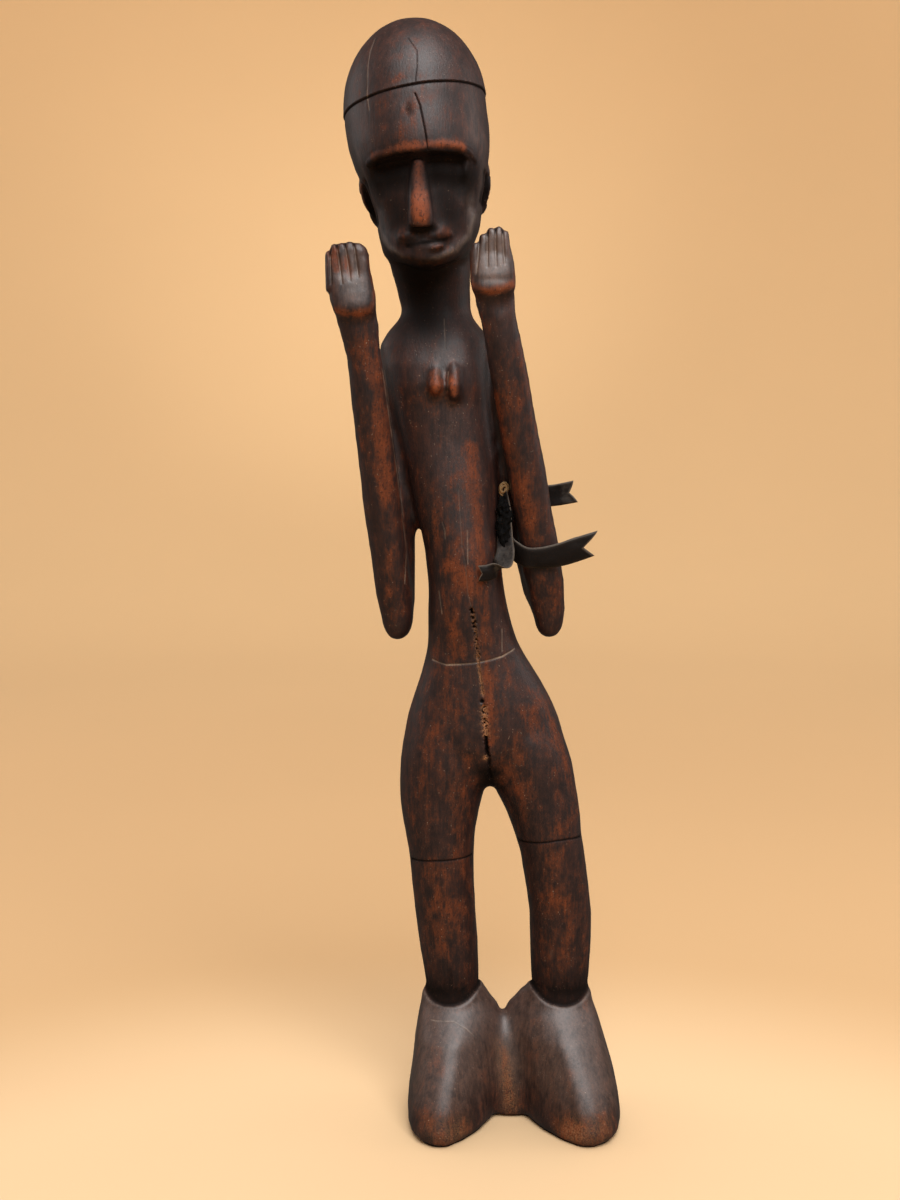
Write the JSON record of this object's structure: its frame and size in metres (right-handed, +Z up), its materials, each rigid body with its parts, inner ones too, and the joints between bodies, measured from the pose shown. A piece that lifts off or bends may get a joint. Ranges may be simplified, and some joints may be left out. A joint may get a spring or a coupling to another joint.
{
  "type": "carved wooden standing figure",
  "caption": "Slender standing human figure carved from one curved log, with raised hands, a mask-like face, joined block feet and dark hide straps on an arm.",
  "frame": {"origin": "on the ground, at the middle of the whole object's bounding box seen from above", "axes": "+Z up, along the figure's height; the figure faces -Y; +X is the viewer's right when looking at its face"},
  "size_m": [0.2394, 0.1371, 0.899],
  "materials": {
    "carved_wood": "dark handled patina with a soft sheen, worn to red-brown on the high places",
    "hide": "dried and stiff, dull black-grey"
  },
  "bodies": {
    "root": {"figure": "carved_wood", "arm_strap": "hide", "tie_strap": "hide"}
  },
  "joints": []
}
